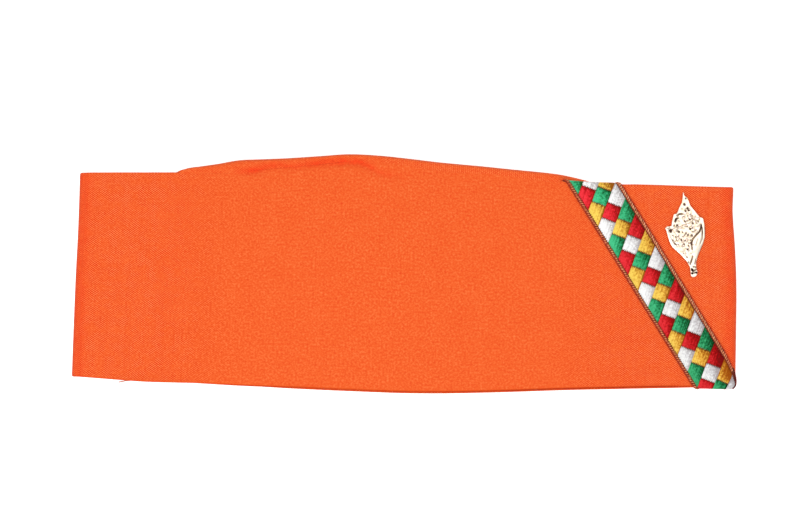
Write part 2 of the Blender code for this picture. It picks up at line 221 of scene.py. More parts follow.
def near_line(x, y, line):
    """Distance from a run of straight pieces, and its third column read at the nearest place."""
    x, y = np.broadcast_arrays(x, y)
    best = np.full(x.shape, np.inf)
    found = np.zeros(x.shape)
    for (x0, y0, a), (x1, y1, b) in zip(line, line[1:]):
        run = (x1 - x0, y1 - y0)
        share = ((x - x0) * run[0] + (y - y0) * run[1]) / (run[0] ** 2 + run[1] ** 2)
        share = np.clip(share, 0, 1)
        away = np.hypot(x - x0 - share * run[0], y - y0 - share * run[1])
        found = np.where(away < best, a + (b - a) * share, found)
        best = np.minimum(best, away)
    return best, found


def ridge_line(x):
    """The crown's ridge, which rises a little sooner at its left end than the solid's."""
    return read_curve(OUTLINE, 2, x) + sum(
        height * bell(x - at, width) for at, width, height in RIDGE_RISES
    )


def proud_share(x):
    """1 where the ridge stands above the front wall and the crown rolls over its edge."""
    rise = ridge_line(x) - read_curve(OUTLINE, 1, x)
    return ease(rise, 0, 1) * (1 - ease(x, *ROLL_END))


def top_edge(x):
    return read_curve(OUTLINE, 1, x) - WALL / 2 + TOP_SPREAD * ease(x, *TOP_SPREAD_RAMP)


def hem_edge(x, on_front=1):
    rising, falling = HEM_SPREAD_RAMPS
    spread = 0.4 + 0.6 * ease(x, *rising) - ease(x, *falling)
    spread += CORNER_DROP * ease(x, *CORNER_DROP_RAMP)
    hem = read_curve(OUTLINE, 3, x) + WALL / 2 - HEM_SPREAD * spread
    return hem + HEM_STEP * on_front * plateau(x, HEM_STEP_RAMPS)


def height_to_y(x, height, on_front=1):
    hem = hem_edge(x, on_front)
    return hem + height * (top_edge(x) - hem)


def y_to_height(x, y):
    hem = hem_edge(x)
    return (y - hem) / (top_edge(x) - hem)


def past_edges(along, y):
    """How far a place of the unrolled wall lies past its top edge and past its hem."""
    x = np.minimum(along, FLAT_TO)
    return y - top_edge(x), hem_edge(x) - y


def flat_ends(height):
    inward = FOLD_RADIUS - END_SPREAD
    return read_curve(ENDS, 1, height) + inward, read_curve(ENDS, 2, height) - inward


def back_z(x):
    return FOLD_LIFT * ease(np.abs(x), *LIFT_RAMP)


def arch_z(x, height):
    """The front wall's outer surface without its crease and dents."""
    left, right = flat_ends(height)
    across = np.minimum(1, np.abs((2 * x - left - right) / (right - left)))
    arch = (
        ARCH_AT_HEM * 2 * (height - 0.5) * (height - 1)
        + ARCH_AT_MIDDLE * 4 * height * (1 - height)
        + ARCH_AT_TOP * 2 * height * (height - 0.5)
    )
    fold_top = FOLD_LIFT + 2 * FOLD_RADIUS
    return fold_top + (arch - fold_top) * (1 - across**ARCH_POWER)


def round_corner(points):
    """Points near the hem's right-hand corner, drawn in so that the corner is round."""
    apart = points[..., :2] - ROUND_CENTRE
    away = np.maximum(np.hypot(apart[..., 0], apart[..., 1]), 1e-6)
    inside = ROUND_RADIUS + (away - ROUND_RADIUS) * ROUND_PULL
    near = (apart[..., 0] > 0) & (apart[..., 1] < 0) & (away > ROUND_RADIUS)
    drawn = points.copy()
    drawn[..., :2] += apart * np.where(near, inside / away - 1, 0)[..., None]
    return drawn


def crease_dip(x, y, width=CREASE_WIDTH):
    away, depth = near_line(x, y, CREASE)
    return depth * bell(away, width)


def skin_dip(x, y):
    """How far the front wall's cloth lies under its smooth arch: crease, dents and slow waves."""
    dip = crease_dip(x, y)
    for cx, cy, half_x, half_y, depth in DENTS:
        dip += depth * bell(x - cx, half_x) * bell(y - cy, half_y)
    waves = (
        0.07 * np.sin(x / 13 + 0.8) * np.sin(y / 19 + 0.5)
        + 0.05 * np.sin(x / 7.3 - y / 16 + 2)
        + 0.04 * np.sin(x / 29 + y / 9)
    )
    calm = 1 - ease(np.abs(x), 120, 136)
    return dip + waves * calm


def front_place(along, height):
    """Points and outward directions on the wall's face, rolled round the right-hand fold."""
    along, height = np.broadcast_arrays(along, height)
    flat_end = flat_ends(height)[1]
    turn = np.maximum(0, along - flat_end) / FOLD_RADIUS
    x = np.minimum(along, flat_end)
    y = height_to_y(x, height, 1 - 0.5 * (1 - np.cos(turn)))
    outward = stacked(np.sin(turn), 0, np.cos(turn))
    rolled = stacked(flat_end, y, FOLD_MIDDLE) + FOLD_RADIUS * outward
    flat = stacked(x, y, arch_z(x, height) - skin_dip(x, y))
    return np.where((turn > 0)[..., None], rolled, flat), outward


def strip_place(along, y, lift):
    """A point over the unrolled front wall: past either edge it goes round the rim and inside.

    Near the end fold the strip bends down along the fold instead of running on round it.
    """
    past = np.maximum(0, along - BEND_FROM)
    along = np.minimum(along, BEND_FROM) + BEND_ROOM * (1 - np.exp(-past / BEND_ROOM))
    over, under = past_edges(along, y)
    reach = np.maximum(0, np.maximum(over, under))
    up = np.where(over > under, 1, -1)
    height = np.clip(y_to_height(np.minimum(along, FLAT_TO), y), 0, 1)
    place, outward = front_place(along, height)
    turn = pi * np.minimum(1, reach / RIM_RUN)
    radius = WALL / 2 + lift * (1 - 0.2 * np.sin(turn))
    place += outward * (radius * np.cos(turn) - WALL / 2)[..., None]
    place[..., 1] += up * (radius * np.sin(turn) - np.maximum(0, reach - RIM_RUN))
    return place


def hem_turn(along):
    """How much of the ribbon goes under the hem, which is less near the end fold."""
    return HEM_TURN + (SHORT_TURN - HEM_TURN) * ease(along, *SHORT_TURN_RAMP)


def room_left(along, y):
    """How much of the ribbon's turned end remains beyond a point of its strip."""
    over, under = past_edges(along, y)
    crossing = along - RIBBON_SLOPE * np.maximum(under, 0)
    return np.minimum(TOP_TURN - over, hem_turn(crossing) - under)


def turned_away(grid, closed):
    """0 on cloth that faces up or down, and towards 1 where it stands on edge."""
    if closed:
        across = np.roll(grid, -1, 1) - np.roll(grid, 1, 1)
    else:
        across = np.gradient(grid, axis=1)
    normal = np.cross(across, np.gradient(grid, axis=0))
    length = np.maximum(np.linalg.norm(normal, axis=-1), 1e-9)
    return (1 - np.abs(normal[..., 2]) / length) ** 1.5


# Mesh making
TUBE_TIP = 0.02


def join_rows(count, columns, close_rows=False, close_columns=False):
    """Quads between neighbouring rows."""
    r = np.arange(count if close_rows else count - 1)[:, None]
    c = np.arange(columns if close_columns else columns - 1)[None, :]
    r2, c2 = (r + 1) % count, (c + 1) % columns
    quads = stacked(r * columns + c, r * columns + c2, r2 * columns + c2, r2 * columns + c)
    return quads.reshape(-1, 4)


def new_object(name, data):
    made = bpy.data.objects.new(name, data)
    bpy.context.scene.collection.objects.link(made)
    return made


def make_piece(name, points, faces, materials, attributes, face_materials=None):
    """A smooth mesh object from points in millimetres and quads, with values at its points."""
    points = points.reshape(-1, 3)
    mesh = bpy.data.meshes.new(name)
    mesh.from_pydata((points * MM).tolist(), [], faces.tolist())
    for title, values in attributes.items():
        values = np.asarray(values, np.float32)
        kind, field = ("FLOAT", "value") if values.size == len(points) else ("FLOAT_VECTOR", "vector")
        mesh.attributes.new(title, kind, "POINT").data.foreach_set(field, values.ravel())
    mesh.shade_smooth()
    for material in materials:
        mesh.materials.append(material)
    if face_materials is not None:
        mesh.polygons.foreach_set("material_index", face_materials.ravel().astype(np.int32))
    return new_object(name, mesh)


def slab(outside, inside):
    """Points and quads of a closed plate between two grids with the same rows and columns."""
    rows, columns = outside.shape[:2]
    shift = rows * columns
    face = join_rows(rows, columns)
    index = np.arange(shift).reshape(rows, columns)
    loop = np.hstack((index[:, 0], index[-1, 1:], index[-2::-1, -1], index[0, -2:0:-1]))
    after = np.roll(loop, -1)
    rim = stacked(loop, after, after + shift, loop + shift)
    points = np.vstack((outside.reshape(-1, 3), inside.reshape(-1, 3)))
    return points, np.vstack((face[:, ::-1], face + shift, rim[:, ::-1]))


def tube(path, radius, sides):
    """Points and quads of a round tube along a path, closed by pulling its ends to points."""
    along = np.gradient(path, axis=0)
    along /= np.linalg.norm(along, axis=1)[:, None]
    side = np.cross(along, (0, 0, 1))
    weak = np.linalg.norm(side, axis=1) < 0.2
    side[weak] = np.cross(along[weak], (1, 0, 0))
    side /= np.linalg.norm(side, axis=1)[:, None]
    other = np.cross(side, along)
    radii = np.full(len(path), radius)
    radii[[0, -1]] = TUBE_TIP
    angle = 2 * pi * np.arange(sides)[:, None] / sides
    ring = side[:, None] * np.cos(angle) + other[:, None] * np.sin(angle)
    points = path[:, None] + ring * radii[:, None, None]
    return points.reshape(-1, 3), join_rows(len(path), sides, close_columns=True)


def gather(parts):
    """Several (points, quads) parts as one."""
    points, faces, start = [], [], 0
    for part_points, part_faces in parts:
        points.append(part_points)
        faces.append(part_faces + start)
        start += len(part_points)
    return np.vstack(points), np.vstack(faces)


# Materials

def add_node(tree, kind, inputs, output=0, **settings):
    """The output of a new shader node, whose inputs take plain values or other fields."""
    node = tree.nodes.new("ShaderNode" + kind)
    for title, value in settings.items():
        setattr(node, title, value)
    for key, value in inputs.items():
        set_input(tree, node.inputs[key], value)
    return Field(tree, node.outputs[output])


def set_input(tree, slot, value):
    if isinstance(value, Field):
        tree.links.new(value.socket, slot)
    else:
        slot.default_value = value


class Field:
    """A value that varies over a surface. Plain arithmetic on it makes Math nodes."""

    def __init__(self, tree, socket):
        self.tree, self.socket = tree, socket

    def step(self, operation, *others):
        return add_node(self.tree, "Math", dict(enumerate((self, *others))), operation=operation)

    __add__ = partialmethod(step, "ADD")
    __sub__ = partialmethod(step, "SUBTRACT")
    __mul__ = partialmethod(step, "MULTIPLY")
    __truediv__ = partialmethod(step, "DIVIDE")

    def flipped(self):
        return (self * -1) + 1

    def ramp(self, start, end):
        return add_node(self.tree, "MapRange", {"Value": self, "From Min": start, "From Max": end})


class Paint:
    """One material and the node calls that its recipe is written in."""

    def __init__(self, name, roughness, metallic=0, specular=0.5):
        self.material = bpy.data.materials.new(name)
        self.material.use_nodes = True
        self.tree = self.material.node_tree
        self.shader = self.tree.nodes["Principled BSDF"]
        self.set("Roughness", roughness)
        self.set("Metallic", metallic)
        self.set("Specular IOR Level", specular)

    def set(self, socket, value):
        set_input(self.tree, self.shader.inputs[socket], value)

    def add(self, kind, inputs, output=0, **settings):
        return add_node(self.tree, kind, inputs, output, **settings)

    def number(self, name):
        return self.add("Attribute", {}, "Fac", attribute_name=name)

    def axes(self, name):
        vector = self.add("Attribute", {}, "Vector", attribute_name=name)
        split = self.add("SeparateXYZ", {0: vector}).socket.node
        return [Field(self.tree, out) for out in split.outputs]

    def join(self, *fields):
        return self.add("CombineXYZ", dict(enumerate(fields)))

    def noise(self, place, scale, detail=2, roughness=0.5):
        inputs = {"Vector": place, "Scale": scale, "Detail": detail, "Roughness": roughness}
        return self.add("TexNoise", inputs, "Fac")

    def chance(self, *fields):
        """A steady random number for each whole-number place."""
        place = {"Vector": self.join(*fields)}
        return self.add("TexWhiteNoise", place, "Value", noise_dimensions="3D")

    def blend(self, share, *colours):
        """From the first colour, where share is 0, to the second."""
        ends = [colour if isinstance(colour, Field) else (*colour, 1) for colour in colours]
        return self.add("Mix", {0: share, 6: ends[0], 7: ends[1]}, 2, data_type="RGBA")

    def scaled(self, colour, amount):
        """A colour times a number."""
        return self.add("VectorMath", {0: colour, "Scale": amount}, operation="SCALE")

    def finish(self, colour, relief, distance, strength):
        """Gives the material its colour and its bump, whose distance is in millimetres."""
        inputs = {"Height": relief, "Distance": distance * MM, "Strength": strength}
        self.set("Base Color", colour)
        self.set("Normal", self.add("Bump", inputs))
        return self.material


# Orange cloth
YARN_U, YARN_V = 0.3225, 0.25
CLOTH_DEEP = (0.58, 0.02, 0.001)
CLOTH_MAIN = (0.685, 0.089, 0.0135)
CLOTH_PALE = (0.82, 0.25, 0.078)
# The painted shade of the crease, the end folds and the hem's dark line: deep and pale
CREASE_SHADE_DEEP = (0.58, 0.026, 0.003)
CREASE_SHADE_PALE = (0.8, 0.066, 0.01)
HEM_SHADE = 0.44
HEM_SHADE_RAMPS = (-100, -58, 112, 136)
EDGE_SHADE = 0.3
RIB_PITCH = 0.86
RIB_RAMPS = (-30, 5, 55, 66)
CREASE_SHADE_WIDTH = 1.5
FRONT_FROM, CROWN_FACE_FROM = 5, 8
CROWN_CRISP = 0.35
UNSHADED_RAMP = (57, 64)
RIM_STEPS = 9


def cloth_material(name, ribbed=False, sheen=0.12, specular=0.18):
    """A 2/2 twill with a brushed face: crisp where `crisp` is 1, fuzzy where it is 0. Its colour also
    carries painted shade in the crease, round the folds, under the hem and where the cloth stands on
    edge.
    """
    paint = Paint(name, 0.9, specular=specular)
    u, v, crisp = paint.axes("cloth_place")
    a, b = u / YARN_U, v / YARN_V
    ia, ib = a.step("FLOOR"), b.step("FLOOR")
    fa, fb = a - ia, b - ib
    turn = (ia - ib).step("FLOORED_MODULO", 4)
    over = turn.step("LESS_THAN", 1.5)
    under = over.flipped()
    along = over * ((turn * -1) + fb + 1) + under * (turn - 2 + fa)
    across = over * fa + under * fb
    crown = ((along - 1) * (along - 1) * -0.8) + 1
    round_yarn = ((across * 2 - 1) * (across * 2 - 1) * -0.85) + 1
    yarn = crown * round_yarn
    turn_u, turn_v = u * (pi / 2 / YARN_U), v * (pi / 2 / YARN_V)
    place = paint.join(u, v)
    rising = (paint.noise(place, 0.17, 1).ramp(0.36, 0.6) * 0.8) + 0.1
    lattice = (turn_u - turn_v).step("COSINE") * rising
    lattice += (turn_u + turn_v).step("COSINE") * rising.flipped()
    tone = paint.chance(ia * over, ib * under, over) - 0.5
    slub = paint.noise(paint.join(u * 0.5, v * 3), 1.1, 2) - 0.5
    fuzz = paint.noise(place, 1.1, 1.5, 0.55) - 0.5
    cloud = paint.noise(place, 0.11, 2) - 0.5
    patch = paint.noise(place, 0.24, 2).ramp(0.38, 0.64)
    weave = crisp * (patch * 0.7 + 0.35)
    # The yarn term paints shade in the grooves between the yarns and lighter colour on their crowns
    level = (
        (yarn - 0.45) * (weave * 0.3 + 0.06)
        + lattice * weave * 0.66
        + tone * (weave * 0.12 + 0.03)
        + fuzz * (weave * -0.1 + 0.86)
        - weave * 0.16
        + slub * 0.1
        + cloud * 0.12
    )
    if ribbed:
        rib = (u * (2 * pi / RIB_PITCH)).step("COSINE")
        level += rib * paint.number("ribs") * 0.16
    level += 0.5
    colour = paint.blend(level.ramp(0, 0.5), CLOTH_DEEP, CLOTH_MAIN)
    colour = paint.blend(level.ramp(0.5, 1.1), colour, CLOTH_PALE)
    # Painted shade, deeper and redder, in the crease, round the end folds and under the front hem,
    # broken up by noise
    broken = paint.noise(place, 0.32, 2).ramp(0.3, 0.68) * 0.9 + fuzz * 1.2 + 0.4
    crease_shade = (paint.number("crease_shade") * broken).step("MINIMUM", 1).step("MAXIMUM", 0)
    crease = paint.blend(level.ramp(0.2, 0.8), CREASE_SHADE_DEEP, CREASE_SHADE_PALE)
    colour = paint.blend(crease_shade, colour, crease)
    colour = paint.scaled(colour, paint.number("shaded").flipped())
    paint.set("Sheen Weight", sheen)
    paint.set("Sheen Roughness", 0.4)
    paint.set("Sheen Tint", (1, 0.62, 0.4, 1))
    return paint.finish(colour, yarn + fuzz * 0.8, 0.06, 0.6)


# How much painted crease shade lies at a place of the cloth
def crease_shade_share(x, y):
    return crease_dip(x, y, CREASE_SHADE_WIDTH) / 0.9


def make_band():
    """The closed band: outer cloth, rounded or tight top rim, inner cloth and rounded hem."""
    front = np.linspace(0, 1, 300, endpoint=False)
    turn = pi * np.arange(14) / 14
    back = np.linspace(0, 1, 90, endpoint=False)
    joins = np.cumsum((len(front), len(turn), len(back)))
    columns = joins[-1] + len(turn)

    def loop(height, inset):
        """A row at one height; inset may vary along the row."""
        left, right = flat_ends(height)
        on_front, on_right, on_back, on_left = np.split(np.broadcast_to(inset, columns), joins)

        def folded(end, way, radius):
            y = height_to_y(end, height, 0.5 + way * 0.5 * np.cos(turn))
            return end + way * radius * np.sin(turn), y, FOLD_MIDDLE + way * radius * np.cos(turn)

        x = left + (right - left) * front
        y = height_to_y(x, height)
        back_x = right + (left - right) * back
        parts = (
            (x, y, arch_z(x, height) - skin_dip(x, y) - on_front),
            folded(right, 1, FOLD_RADIUS - on_right),
            (back_x, height_to_y(back_x, height, 0), back_z(back_x) + on_back),
            folded(left, -1, FOLD_RADIUS - on_left),
        )
        return np.vstack([stacked(*part) for part in parts])

    def rim(height, up, power):
        """The rows that turn from one face to the other, squarer where power is lower."""
        rows = []
        for angle in pi * np.arange(1, RIM_STEPS) / RIM_STEPS:
            across = np.sign(np.cos(angle)) * np.abs(np.cos(angle)) ** power
            row = loop(height, WALL / 2 * (1 - across))
            row[:, 1] += up * WALL / 2 * np.sin(angle) ** power
            rows.append(row)
        return rows

    heights = spaced((0, 0.06, 6), (0.06, 0.88, 53), (0.88, 1, 23))
    outer = [loop(height, 0) for height in heights]
    top_rim = rim(1, 1, 1 - 0.7 * proud_share(outer[-1][:, 0]))
    inner = [loop(height, WALL) for height in np.linspace(1, 0, 34)]
    rows = np.array(outer + top_rim + inner + rim(0, -1, 0.8)[::-1])

    x, y, z = np.moveaxis(rows, -1, 0)
    u = x[0, 0] + run_lengths(rows[len(outer) // 2])
    v = run_lengths(rows[:, columns // 3])[:, None]
    # Painted shade: the crease colour goes along the crease on the front face, round both end folds and
    # into the dark line under the front hem
    on_face = (z > FRONT_FROM) & (np.arange(len(rows)) < len(outer) + RIM_STEPS // 2)[:, None]
    crease_shade = np.where(on_face, crease_shade_share(x, y), 0)
    left, right = flat_ends(np.clip(y_to_height(x, y), 0, 1))
    inward = np.minimum(x - left, right - x)
    crease_shade = np.maximum(crease_shade, 0.5 * (1 - ease(inward, -0.5, 4.5)))
    shaded = EDGE_SHADE * turned_away(rows, True)
    # Painted shade in the dark line under the front hem's rim
    under_hem = HEM_SHADE + 0.2 * ease(x[0], 20, 60)
    under_hem = under_hem * (z[0] > FRONT_FROM) * plateau(x[0], HEM_SHADE_RAMPS)
    under_hem = under_hem * np.sin(np.linspace(pi, 0, RIM_STEPS + 1))[1:-1, None]
    shaded[1 - RIM_STEPS :] = np.maximum(shaded[1 - RIM_STEPS :], under_hem)
    crease_shade[1 - RIM_STEPS :] = np.maximum(crease_shade[1 - RIM_STEPS :], 2.4 * under_hem)
    # The front hem's rim takes a darker copy of the cloth without its sheen, as painted shade in the
    # gap under the hem
    hem_shade_faces = np.zeros(x.shape)
    hem_shade_faces[-RIM_STEPS:, : len(front)] = 1
    # The weave shows crisply towards both ends and beside the ribbon
    crisp = np.clip(0.06 + ease(np.abs(x + 4), 62, 112), 0, 1)
    piece = make_piece(
        "band_cloth", round_corner(rows), join_rows(*x.shape, True, True),
        [cloth_material("band_twill"), cloth_material("hem_shade_twill", sheen=0, specular=0.05)],
        {"cloth_place": stacked(u, v, crisp),
         "crease_shade": crease_shade, "shaded": shaded},
        hem_shade_faces,
    )
    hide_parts("side_band")
    return piece


def crown_half(x, side, inset):
    """Half of the crown's section at each x, from the leg's foot to the ridge.

    Where the ridge stands above the front wall, the cloth comes up past the wall's edge and rolls
    over level with it. Elsewhere it stays between the walls.
    """
    x = x[:, None]
    ridge, top = ridge_line(x), read_curve(OUTLINE, 1, x)
    foot = top_edge(x) - CROWN_LEG
    base_front, base_back = arch_z(x, 1), back_z(x)
    pocket = GAP + (RIBBON_POCKET - GAP) * plateau(x, POCKET_RAMPS)
    front = np.minimum(base_front, arch_z(x, 0.92)) - WALL - pocket
    back = base_back + WALL + GAP
    half, middle = (front - back) / 2, (front + back) / 2
    turns = np.linspace(0, pi / 2, 20)
    leg = np.linspace(0, 1, 13, endpoint=False)
    inside_y = np.hstack(
        (foot + (ridge - half - foot) * leg, ridge - half + (half - inset) * np.sin(turns))
    )
    across = np.hstack((np.ones_like(leg), np.cos(turns)))
    inside_z = middle + side * (half - inset) * across

    neck_y, neck_depth, y_share, depth_share = NECK
    leg = np.linspace(0, 1, 7, endpoint=False)
    roll_from = top + ROLL_START + inset
    wide_y = np.hstack((
        foot + (top + neck_y[0] - foot) * leg,
        top + neck_y + y_share * inset,
        roll_from + (ridge - inset - roll_from) * np.sin(turns) ** ROLL_POWER,
    ))
    total = (base_front - base_back) / 2
    depth = np.hstack((
        np.full((len(x), len(leg)), HIDDEN + inset),
        np.tile(neck_depth + depth_share * inset, (len(x), 1)),
        total - (total - neck_depth[-1] - inset) * np.cos(turns) ** ROLL_POWER,
    ))
    if side > 0:
        depth += crease_dip(x, wide_y) * (depth < total * 0.8)
    wide_z = base_front - depth if side > 0 else base_back + depth

    proud = proud_share(x)
    y = inside_y + (wide_y - inside_y) * proud
    z = inside_z + (wide_z - inside_z) * proud
    return stacked(x, y, z)


def make_crown():
    stations = np.linspace(*CROWN_REACH, 300)
    outside, inside = (
        np.hstack((crown_half(stations, 1, inset), crown_half(stations, -1, inset)[:, -2::-1]))
        for inset in (0, CROWN_CLOTH)
    )
    points, faces = slab(outside, inside)
    x, y, z = np.moveaxis(outside, -1, 0)
    shaded = EDGE_SHADE * turned_away(outside, False)
    attributes = {
        "cloth_place": stacked(x, run_lengths(outside), CROWN_CRISP),
        # painted shade along the crease
        "crease_shade": np.where(z > CROWN_FACE_FROM, crease_shade_share(x, y), 0),
        "shaded": shaded * (1 - 0.8 * ease(x, *UNSHADED_RAMP)),
        "ribs": plateau(x, RIB_RAMPS),
    }
    piece = make_piece(
        "crown_cloth", points, faces, [cloth_material("crown_twill", ribbed=True)],
        {title: twice(values) for title, values in attributes.items()},
    )
    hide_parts("crown_front", "crown_rear")
    return piece


# The ribbon

def strip_xy(t, w):
    """A place in the ribbon's plane, along and across, as lengths over the unrolled wall."""
    t, w = np.broadcast_arrays(t, w)
    return RIBBON_CORNER + t[..., None] * RIBBON_ALONG + w[..., None] * RIBBON_ACROSS


def ribbon_ground_material():
    paint = Paint("ribbon_ground", 0.85, specular=0.08)
    t, w, _ = paint.axes("strip_place")
    ribs = (t * (4 * pi)).step("SINE") * (w * (4 * pi)).step("SINE")
    grain = paint.noise(paint.join(t, w), 2.2, 3)
    level = ribs * 0.2 + grain
    colour = paint.blend(level.ramp(0.3, 0.8), (0.1, 0.016, 0.009), (0.24, 0.05, 0.028))
    return paint.finish(colour, level, 0.08, 0.6)


def make_ribbon_backing():
    """The plain strip under the stitches, with both ends turned in round the wall's edges."""
    middle = RIBBON_CORNER + RIBBON_MIDDLE * RIBBON_ACROSS
    spread = RIBBON_HALF * hypot(1, RIBBON_SLOPE) * np.linspace(-1, 1, 41)

    def row_at(y):
        t = (middle[1] - y) / -RIBBON_ALONG[1]
        return middle[0] + t * RIBBON_ALONG[0] + spread

    def edge_row(edge, y):
        """Where each column crosses the wall's top edge or hem, found from a height near it."""
        x = row_at(y)
        for _ in range(6):
            x = row_at(edge(np.minimum(x, FLAT_TO)))
        return x, edge(np.minimum(x, FLAT_TO))

    top_x, top_y = edge_row(top_edge, 40)
    hem_x, hem_y = edge_row(hem_edge, -48)
    turned = np.linspace(0, 1, 25)[1:, None]
    over = turned[::-1] * TOP_TURN
    flat_y = top_y + (hem_y - top_y) * np.linspace(0, 1, 110)[:, None]
    under = turned * hem_turn(hem_x)
    x = np.vstack((top_x - RIBBON_SLOPE * over, row_at(flat_y), hem_x + RIBBON_SLOPE * under))
    y = np.vstack((top_y + over, flat_y, hem_y - under))
    points, faces = slab(strip_place(x, y, BASE_TOP), strip_place(x, y, GAP))
    apart = stacked(x, y) - RIBBON_CORNER
    place = stacked(apart @ RIBBON_ALONG, apart @ RIBBON_ACROSS, 0)
    piece = make_piece(
        "ribbon_backing", round_corner(points), faces, [ribbon_ground_material()],
        {"strip_place": twice(place)},
    )
    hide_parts("ribbon")
    return piece


# Each thread's deep colour, which also serves as painted shade, its main colour and its bright colour,
# a painted highlight, near the ribbon's top, then near its hem, where they are painted deeper
THREADS = {
    "green": (((0.004, 0.07, 0.012), (0.023, 0.31, 0.12), (0.06, 0.53, 0.25)),
              ((0.001, 0.03, 0.005), (0.006, 0.15, 0.046), (0.045, 0.36, 0.145))),
    "red": (((0.24, 0.004, 0.001), (0.58, 0.012, 0.018), (0.78, 0.032, 0.046)),
            ((0.17, 0.001, 0.001), (0.37, 0.001, 0.002), (0.6, 0.022, 0.026))),
    "yellow": (((0.25, 0.075, 0.002), (0.66, 0.4, 0.055), (0.8, 0.58, 0.095)),
               ((0.29, 0.065, 0.001), (0.6, 0.27, 0.025), (0.8, 0.55, 0.1))),
    "white": (((0.4, 0.365, 0.36), (0.73, 0.72, 0.715), (0.85, 0.85, 0.85)),
              ((0.34, 0.3, 0.305), (0.55, 0.54, 0.55), (0.75, 0.75, 0.73))),
}
# The colours of a column's middle cell and of the two beside it
COLUMN_COLOURS = (("white", "red"), ("green", "yellow"), ("red", "white"), ("yellow", "green"))
COLUMNS = range(-3, 16)
LAST_TONE_AT = 108


def satin_material(name, near_top, near_hem):
    """Twisted floss with painted light: a painted highlight on each thread's crown, painted shade where
    it turns under and at its ends, and each cell's painted light and shade.
    """
    paint = Paint("satin_" + name, 0.4, specular=0.06)
    along, across, chance = paint.axes("thread_place")
    x, y, _ = paint.axes("cell_place")
    fibre = paint.noise(paint.join(along * 1.3, across * 9), 1.6, 3, 0.6)
    knots = paint.noise(paint.join(x, y), 1, 3, 0.62)
    down = paint.number("down_ribbon")
    # The across term paints shade down each thread's sides, the cell term adds each cell's painted
    # light and shade, and the down term paints the colours deeper towards the hem
    level = (
        (fibre - 0.5) * 1.6 + (knots - 0.5) * 2.1 + (chance - 0.5) * 0.4
        - across * across * 0.3 + paint.number("cell_tone") - down * 0.06 + 0.63
    )
    deep_and_shade, main, painted_highlight = (paint.blend(down, top, hem) for top, hem in zip(near_top, near_hem))
    colour = paint.blend(level.ramp(0, 0.5), deep_and_shade, main)
    colour = paint.blend(level.ramp(0.5, 1), colour, painted_highlight)
    # Painted shade at each thread's ends
    colour = paint.scaled(colour, paint.number("thread_end") * -0.72 + 1)
    return paint.finish(colour, fibre + knots, 0.05, 0.5)


def satin_runs():
    """Each thread's column, number, place across its cell and colour, and its two ends."""
    for column in COLUMNS:
        middle_name, outer_name = COLUMN_COLOURS[column % 4]
        for thread in range(THREADS_IN_CELL):
            q = (thread + 0.5) * THREAD_PITCH - CELL_WIDTH / 2
            first = -(STITCHED_HALF - CELL_LEAN[0] * q) / CELL_LEAN[1]
            last = (STITCHED_HALF + CELL_LEAN[0] * q) / CELL_LEAN[1]
            ends = (first, -CELL_LENGTH / 2, CELL_LENGTH / 2, last)
            for name, low, high in zip((outer_name, middle_name, outer_name), ends, ends[1:]):
                yield column, thread, q, name, low, high


